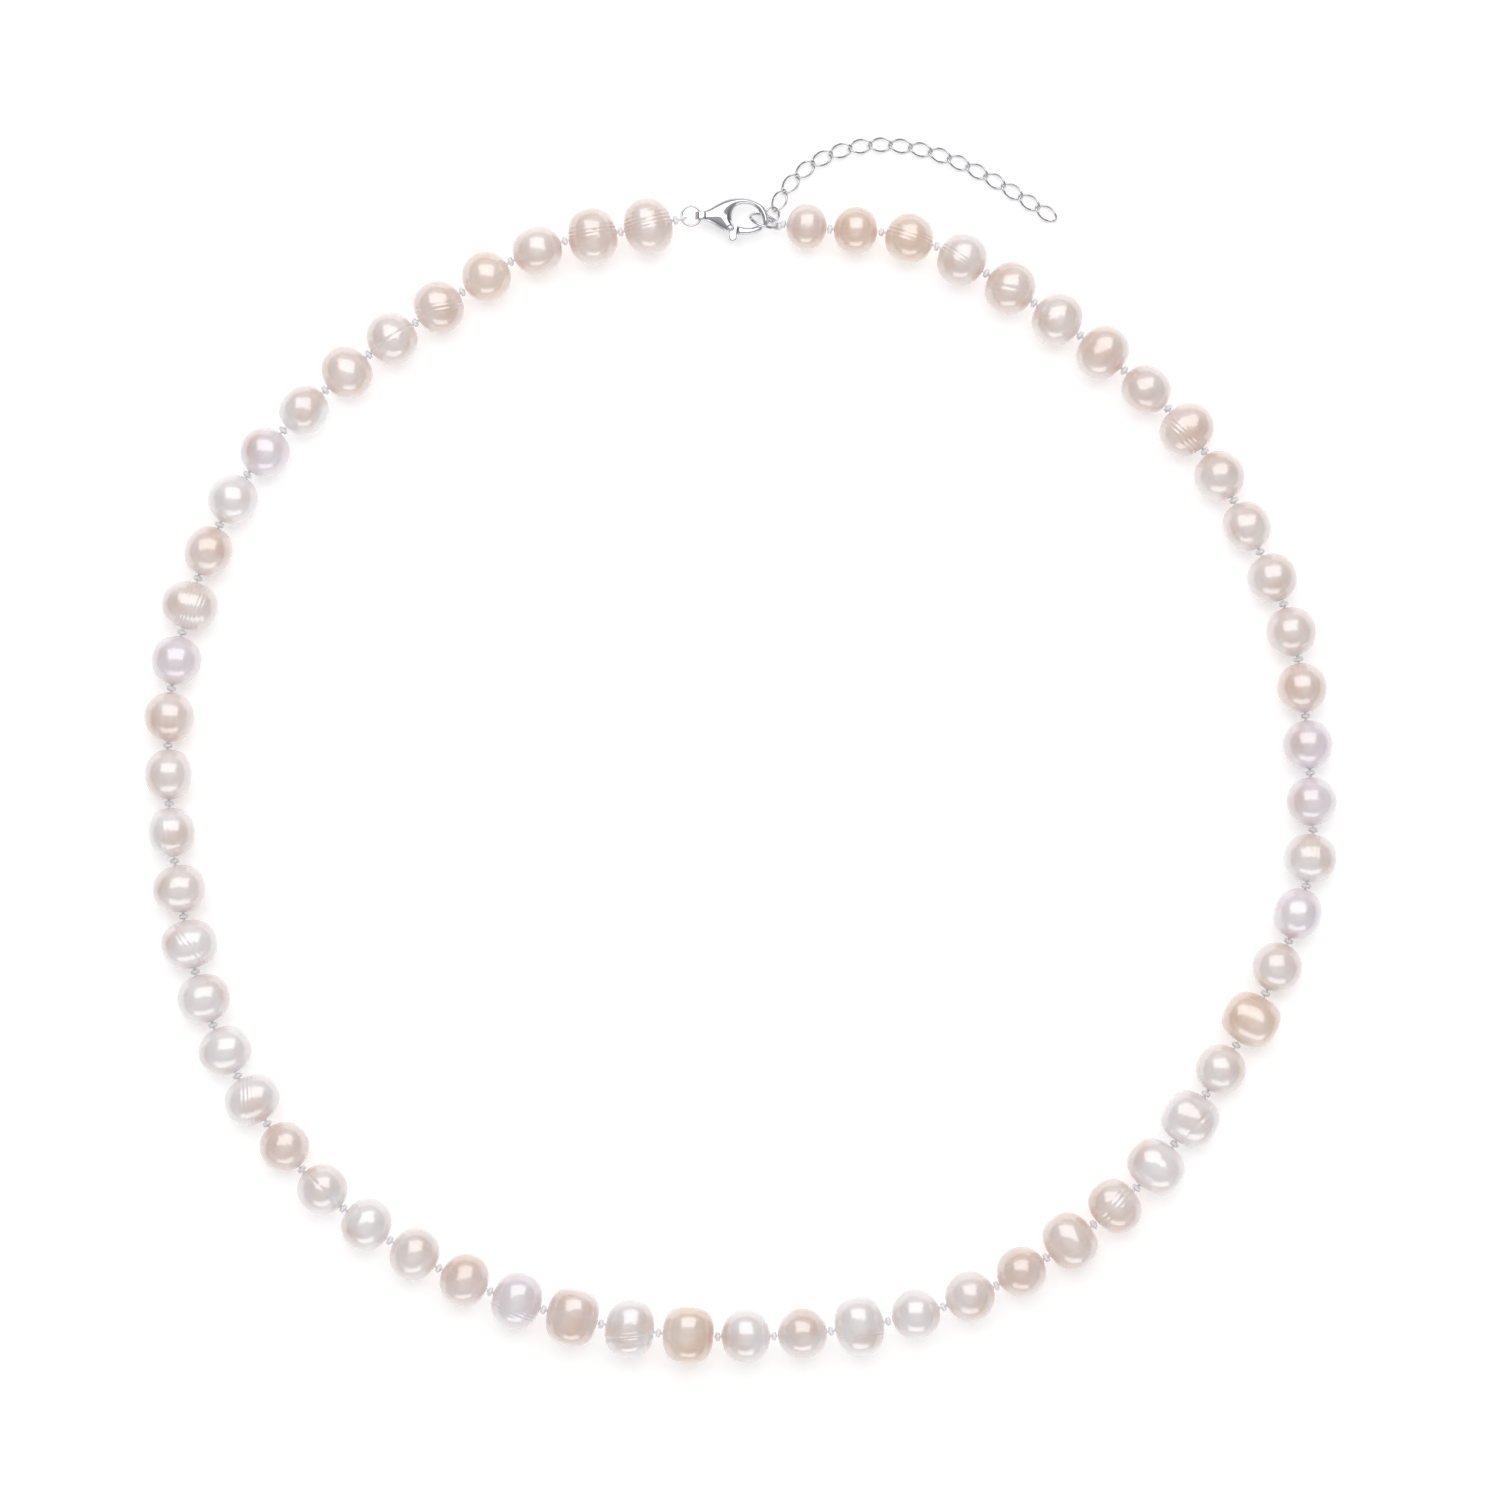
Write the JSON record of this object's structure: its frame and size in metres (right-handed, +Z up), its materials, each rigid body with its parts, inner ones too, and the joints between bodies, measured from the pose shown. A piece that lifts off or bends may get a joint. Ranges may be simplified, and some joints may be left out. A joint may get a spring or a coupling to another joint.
{
  "type": "pearl necklace",
  "caption": "Single strand of knotted freshwater pearls with a silver lobster clasp, a catch ring and a fine extender chain, lying closed.",
  "frame": {"origin": "middle of the outline's box, on the table that the necklace lies on", "axes": "+Z up from the table, +Y from the middle pearl towards the clasp, +X towards the arm that ends in the catch ring"},
  "size_m": [0.1529, 0.1573, 0.0069],
  "materials": {
    "pearl": "pearl lustre over white-pink nacre, strung on white silk",
    "clasp_silver": "polished silver",
    "chain_silver": "polished silver",
    "spring_steel": "drawn wire"
  },
  "bodies": {
    "middle": {"pearl_middle": "pearl"},
    "right_01": {"pearls_right_01": "pearl"},
    "right_02": {"pearls_right_02": "pearl"},
    "right_03": {"pearls_right_03": "pearl"},
    "right_04": {"pearls_right_04": "pearl"},
    "right_05": {"pearls_right_05": "pearl"},
    "right_06": {"pearls_right_06": "pearl"},
    "right_07": {"pearls_right_07": "pearl"},
    "right_08": {"pearls_right_08": "pearl"},
    "right_09": {"pearls_right_09": "pearl"},
    "right_10": {"pearls_right_10": "pearl"},
    "right_11": {"pearls_right_11": "pearl"},
    "right_12": {"pearls_right_12": "pearl"},
    "right_13": {"pearls_right_13": "pearl"},
    "right_14": {"pearls_right_14": "pearl"},
    "right_15": {"pearls_right_15": "pearl"},
    "left_01": {"pearls_left_01": "pearl"},
    "left_02": {"pearls_left_02": "pearl"},
    "left_03": {"pearls_left_03": "pearl"},
    "left_04": {"pearls_left_04": "pearl"},
    "left_05": {"pearls_left_05": "pearl"},
    "left_06": {"pearls_left_06": "pearl"},
    "left_07": {"pearls_left_07": "pearl"},
    "left_08": {"pearls_left_08": "pearl"},
    "left_09": {"pearls_left_09": "pearl"},
    "left_10": {"pearls_left_10": "pearl"},
    "left_11": {"pearls_left_11": "pearl"},
    "left_12": {"pearls_left_12": "pearl"},
    "left_13": {"pearls_left_13": "pearl"},
    "left_14": {"pearls_left_14": "pearl"},
    "left_15": {"pearls_left_15": "pearl"},
    "jump_ring": {"jump_ring": "clasp_silver"},
    "clasp": {"clasp_body": "clasp_silver", "clasp_pin": "clasp_silver", "clasp_spring": "spring_steel"},
    "lever": {"clasp_lever": "clasp_silver"},
    "catch_ring": {"catch_ring": "clasp_silver"},
    "connector": {"connector_ring": "clasp_silver"},
    "link_01": {"chain_link_01": "chain_silver"},
    "link_02": {"chain_link_02": "chain_silver"},
    "link_03": {"chain_link_03": "chain_silver"},
    "link_04": {"chain_link_04": "chain_silver"},
    "link_05": {"chain_link_05": "chain_silver"},
    "link_06": {"chain_link_06": "chain_silver"},
    "link_07": {"chain_link_07": "chain_silver"},
    "link_08": {"chain_link_08": "chain_silver"},
    "link_09": {"chain_link_09": "chain_silver"},
    "link_10": {"chain_link_10": "chain_silver"},
    "link_11": {"chain_link_11": "chain_silver"},
    "link_12": {"chain_link_12": "chain_silver"},
    "link_13": {"chain_link_13": "chain_silver"},
    "link_14": {"chain_link_14": "chain_silver"},
    "link_15": {"chain_link_15": "chain_silver"},
    "link_16": {"chain_link_16": "chain_silver"}
  },
  "joints": [
    {"name": "knot_right_01", "type": "hinge", "parent": "middle", "child": "right_01", "pos_m": [0.00423, -0.07524, 0.00328], "axis": [0, 0, 1], "range_deg": [-3.28, 3.28]},
    {"name": "knot_right_02", "type": "hinge", "parent": "right_01", "child": "right_02", "pos_m": [0.01883, -0.07339, 0.00332], "axis": [0, 0, 1], "range_deg": [-3.69, 3.69]},
    {"name": "knot_right_03", "type": "hinge", "parent": "right_02", "child": "right_03", "pos_m": [0.03269, -0.06883, 0.0033], "axis": [0, 0, 1], "range_deg": [-3.71, 3.71]},
    {"name": "knot_right_04", "type": "hinge", "parent": "right_03", "child": "right_04", "pos_m": [0.04515, -0.061, 0.0033], "axis": [0, 0, 1], "range_deg": [-2.59, 2.59]},
    {"name": "knot_right_05", "type": "hinge", "parent": "right_04", "child": "right_05", "pos_m": [0.05547, -0.0507, 0.0034], "axis": [0, 0, 1], "range_deg": [-1.4, 1.4]},
    {"name": "knot_right_06", "type": "hinge", "parent": "right_05", "child": "right_06", "pos_m": [0.06338, -0.03804, 0.00337], "axis": [0, 0, 1], "range_deg": [-2.76, 2.76]},
    {"name": "knot_right_07", "type": "hinge", "parent": "right_06", "child": "right_07", "pos_m": [0.07008, -0.02473, 0.00332], "axis": [0, 0, 1], "range_deg": [-4.82, 4.82]},
    {"name": "knot_right_08", "type": "hinge", "parent": "right_07", "child": "right_08", "pos_m": [0.07321, -0.01051, 0.00328], "axis": [0, 0, 1], "range_deg": [-5.9, 5.9]},
    {"name": "knot_right_09", "type": "hinge", "parent": "right_08", "child": "right_09", "pos_m": [0.07227, 0.00409, 0.0033], "axis": [0, 0, 1], "range_deg": [-5.71, 5.71]},
    {"name": "knot_right_10", "type": "hinge", "parent": "right_09", "child": "right_10", "pos_m": [0.06945, 0.0184, 0.0033], "axis": [0, 0, 1], "range_deg": [-4.33, 4.33]},
    {"name": "knot_right_11", "type": "hinge", "parent": "right_10", "child": "right_11", "pos_m": [0.06308, 0.03168, 0.00332], "axis": [0, 0, 1], "range_deg": [-2.2, 2.2]},
    {"name": "knot_right_12", "type": "hinge", "parent": "right_11", "child": "right_12", "pos_m": [0.05467, 0.04346, 0.0033], "axis": [0, 0, 1], "range_deg": [-1.17, 1.17]},
    {"name": "knot_right_13", "type": "hinge", "parent": "right_12", "child": "right_13", "pos_m": [0.04343, 0.05281, 0.00325], "axis": [0, 0, 1], "range_deg": [-2.51, 2.51]},
    {"name": "knot_right_14", "type": "hinge", "parent": "right_13", "child": "right_14", "pos_m": [0.03142, 0.06078, 0.00325], "axis": [0, 0, 1], "range_deg": [-5.04, 5.04]},
    {"name": "knot_right_15", "type": "hinge", "parent": "right_14", "child": "right_15", "pos_m": [0.018, 0.06608, 0.00313], "axis": [0, 0, 1], "range_deg": [-7.42, 7.42]},
    {"name": "knot_left_01", "type": "hinge", "parent": "middle", "child": "left_01", "pos_m": [-0.00298, -0.07534, 0.00335], "axis": [0, 0, 1], "range_deg": [-3.95, 3.95]},
    {"name": "knot_left_02", "type": "hinge", "parent": "left_01", "child": "left_02", "pos_m": [-0.0179, -0.07373, 0.0034], "axis": [0, 0, 1], "range_deg": [-4, 4]},
    {"name": "knot_left_03", "type": "hinge", "parent": "left_02", "child": "left_03", "pos_m": [-0.03211, -0.06959, 0.00325], "axis": [0, 0, 1], "range_deg": [-3.55, 3.55]},
    {"name": "knot_left_04", "type": "hinge", "parent": "left_03", "child": "left_04", "pos_m": [-0.04495, -0.06304, 0.00325], "axis": [0, 0, 1], "range_deg": [-2.2, 2.2]},
    {"name": "knot_left_05", "type": "hinge", "parent": "left_04", "child": "left_05", "pos_m": [-0.05622, -0.05394, 0.0033], "axis": [0, 0, 1], "range_deg": [-1.4, 1.4]},
    {"name": "knot_left_06", "type": "hinge", "parent": "left_05", "child": "left_06", "pos_m": [-0.06447, -0.042, 0.00325], "axis": [0, 0, 1], "range_deg": [-2.74, 2.74]},
    {"name": "knot_left_07", "type": "hinge", "parent": "left_06", "child": "left_07", "pos_m": [-0.06987, -0.02865, 0.00325], "axis": [0, 0, 1], "range_deg": [-4.69, 4.69]},
    {"name": "knot_left_08", "type": "hinge", "parent": "left_07", "child": "left_08", "pos_m": [-0.0725, -0.01448, 0.0033], "axis": [0, 0, 1], "range_deg": [-5.68, 5.68]},
    {"name": "knot_left_09", "type": "hinge", "parent": "left_08", "child": "left_09", "pos_m": [-0.07338, 0.00031, 0.00332], "axis": [0, 0, 1], "range_deg": [-5.67, 5.67]},
    {"name": "knot_left_10", "type": "hinge", "parent": "left_09", "child": "left_10", "pos_m": [-0.07155, 0.01479, 0.00328], "axis": [0, 0, 1], "range_deg": [-4.87, 4.87]},
    {"name": "knot_left_11", "type": "hinge", "parent": "left_10", "child": "left_11", "pos_m": [-0.06677, 0.02859, 0.00332], "axis": [0, 0, 1], "range_deg": [-3.46, 3.46]},
    {"name": "knot_left_12", "type": "hinge", "parent": "left_11", "child": "left_12", "pos_m": [-0.0586, 0.04067, 0.00332], "axis": [0, 0, 1], "range_deg": [-1.17, 1.17]},
    {"name": "knot_left_13", "type": "hinge", "parent": "left_12", "child": "left_13", "pos_m": [-0.04766, 0.05035, 0.00325], "axis": [0, 0, 1], "range_deg": [-1.4, 1.4]},
    {"name": "knot_left_14", "type": "hinge", "parent": "left_13", "child": "left_14", "pos_m": [-0.03569, 0.0584, 0.00328], "axis": [0, 0, 1], "range_deg": [-4.48, 4.48]},
    {"name": "knot_left_15", "type": "hinge", "parent": "left_14", "child": "left_15", "pos_m": [-0.02256, 0.0649, 0.0033], "axis": [0, 0, 1], "range_deg": [-7.31, 7.31]},
    {"name": "jump_ring_swing", "type": "hinge", "parent": "left_15", "child": "jump_ring", "pos_m": [-0.00759, 0.06783, 0.00205], "axis": [0, 0, 1], "range_deg": [-3, 3]},
    {"name": "clasp_swing", "type": "hinge", "parent": "jump_ring", "child": "clasp", "pos_m": [-0.00515, 0.06825, 0.002], "axis": [0, 0, -1], "range_deg": [-4, 3]},
    {"name": "lever_pivot", "type": "hinge", "parent": "clasp", "child": "lever", "pos_m": [-0.0014, 0.0667, 0.002], "axis": [0, 0, 1], "range_deg": [0, 12], "stiffness_Nm_per_rad": 0.002, "springref_deg": -11.46},
    {"name": "catch_ring_swing", "type": "hinge", "parent": "right_15", "child": "catch_ring", "pos_m": [0.00469, 0.06697, 0.0021], "axis": [0, 0, 1], "range_deg": [-4, 5]},
    {"name": "connector_swing", "type": "hinge", "parent": "catch_ring", "child": "connector", "pos_m": [0.0038, 0.0681, 0.00054], "axis": [0, 0, -1], "range_deg": [-8, 4]},
    {"name": "link_01_swing", "type": "hinge", "parent": "connector", "child": "link_01", "pos_m": [0.00426, 0.06899, 0.0005], "axis": [0, 0, 1], "range_deg": [-12, 8]},
    {"name": "link_02_swing", "type": "hinge", "parent": "link_01", "child": "link_02", "pos_m": [0.00553, 0.07149, 0.0005], "axis": [0, 0, -1], "range_deg": [-30, 12]},
    {"name": "link_03_swing", "type": "hinge", "parent": "link_02", "child": "link_03", "pos_m": [0.0072, 0.0735, 0.0005], "axis": [0, 0, 1], "range_deg": [-12, 30]},
    {"name": "link_04_swing", "type": "hinge", "parent": "link_03", "child": "link_04", "pos_m": [0.00923, 0.07511, 0.0005], "axis": [0, 0, -1], "range_deg": [-30, 12]},
    {"name": "link_05_swing", "type": "hinge", "parent": "link_04", "child": "link_05", "pos_m": [0.01154, 0.07632, 0.0005], "axis": [0, 0, 1], "range_deg": [-12, 30]},
    {"name": "link_06_swing", "type": "hinge", "parent": "link_05", "child": "link_06", "pos_m": [0.01401, 0.0771, 0.0005], "axis": [0, 0, -1], "range_deg": [-30, 13]},
    {"name": "link_07_swing", "type": "hinge", "parent": "link_06", "child": "link_07", "pos_m": [0.01658, 0.07749, 0.0005], "axis": [0, 0, 1], "range_deg": [-15, 30]},
    {"name": "link_08_swing", "type": "hinge", "parent": "link_07", "child": "link_08", "pos_m": [0.01918, 0.0775, 0.0005], "axis": [0, 0, -1], "range_deg": [-30, 17]},
    {"name": "link_09_swing", "type": "hinge", "parent": "link_08", "child": "link_09", "pos_m": [0.02176, 0.07719, 0.0005], "axis": [0, 0, 1], "range_deg": [-20, 30]},
    {"name": "link_10_swing", "type": "hinge", "parent": "link_09", "child": "link_10", "pos_m": [0.02429, 0.07658, 0.0005], "axis": [0, 0, -1], "range_deg": [-30, 26]},
    {"name": "link_11_swing", "type": "hinge", "parent": "link_10", "child": "link_11", "pos_m": [0.02675, 0.07574, 0.0005], "axis": [0, 0, 1], "range_deg": [-30, 30]},
    {"name": "link_12_swing", "type": "hinge", "parent": "link_11", "child": "link_12", "pos_m": [0.02914, 0.0747, 0.0005], "axis": [0, 0, -1], "range_deg": [-30, 30]},
    {"name": "link_13_swing", "type": "hinge", "parent": "link_12", "child": "link_13", "pos_m": [0.03145, 0.07351, 0.0005], "axis": [0, 0, 1], "range_deg": [-30, 30]},
    {"name": "link_14_swing", "type": "hinge", "parent": "link_13", "child": "link_14", "pos_m": [0.0337, 0.07222, 0.0005], "axis": [0, 0, -1], "range_deg": [-30, 30]},
    {"name": "link_15_swing", "type": "hinge", "parent": "link_14", "child": "link_15", "pos_m": [0.03591, 0.07084, 0.0005], "axis": [0, 0, 1], "range_deg": [-30, 30]},
    {"name": "link_16_swing", "type": "hinge", "parent": "link_15", "child": "link_16", "pos_m": [0.03809, 0.06943, 0.0005], "axis": [0, 0, -1], "range_deg": [-30, 30]}
  ],
  "couplings": [
    {"joint": "knot_right_02", "follows": "knot_right_01", "ratio": 1.1159},
    {"joint": "knot_right_03", "follows": "knot_right_01", "ratio": 1.1225},
    {"joint": "knot_right_04", "follows": "knot_right_01", "ratio": 0.7832},
    {"joint": "knot_right_05", "follows": "knot_right_01", "ratio": -0.4182},
    {"joint": "knot_right_06", "follows": "knot_right_01", "ratio": -0.8345},
    {"joint": "knot_right_07", "follows": "knot_right_01", "ratio": -1.4625},
    {"joint": "knot_right_08", "follows": "knot_right_01", "ratio": -1.7905},
    {"joint": "knot_right_09", "follows": "knot_right_01", "ratio": -1.7332},
    {"joint": "knot_right_10", "follows": "knot_right_01", "ratio": -1.3124},
    {"joint": "knot_right_11", "follows": "knot_right_01", "ratio": -0.6634},
    {"joint": "knot_right_12", "follows": "knot_right_01", "ratio": -0.3485},
    {"joint": "knot_right_13", "follows": "knot_right_01", "ratio": 0.7574},
    {"joint": "knot_right_14", "follows": "knot_right_01", "ratio": 1.5289},
    {"joint": "knot_right_15", "follows": "knot_right_01", "ratio": 2.2554},
    {"joint": "knot_left_01", "follows": "knot_right_01", "ratio": -1.1975},
    {"joint": "knot_left_02", "follows": "knot_right_01", "ratio": -1.2131},
    {"joint": "knot_left_03", "follows": "knot_right_01", "ratio": -1.0751},
    {"joint": "knot_left_04", "follows": "knot_right_01", "ratio": -0.6619},
    {"joint": "knot_left_05", "follows": "knot_right_01", "ratio": -0.4182},
    {"joint": "knot_left_06", "follows": "knot_right_01", "ratio": 0.8265},
    {"joint": "knot_left_07", "follows": "knot_right_01", "ratio": 1.422},
    {"joint": "knot_left_08", "follows": "knot_right_01", "ratio": 1.7228},
    {"joint": "knot_left_09", "follows": "knot_right_01", "ratio": 1.72},
    {"joint": "knot_left_10", "follows": "knot_right_01", "ratio": 1.4765},
    {"joint": "knot_left_11", "follows": "knot_right_01", "ratio": 1.0478},
    {"joint": "knot_left_12", "follows": "knot_right_01", "ratio": 0.3485},
    {"joint": "knot_left_13", "follows": "knot_right_01", "ratio": -0.42},
    {"joint": "knot_left_14", "follows": "knot_right_01", "ratio": -1.3572},
    {"joint": "knot_left_15", "follows": "knot_right_01", "ratio": -2.221}
  ]
}
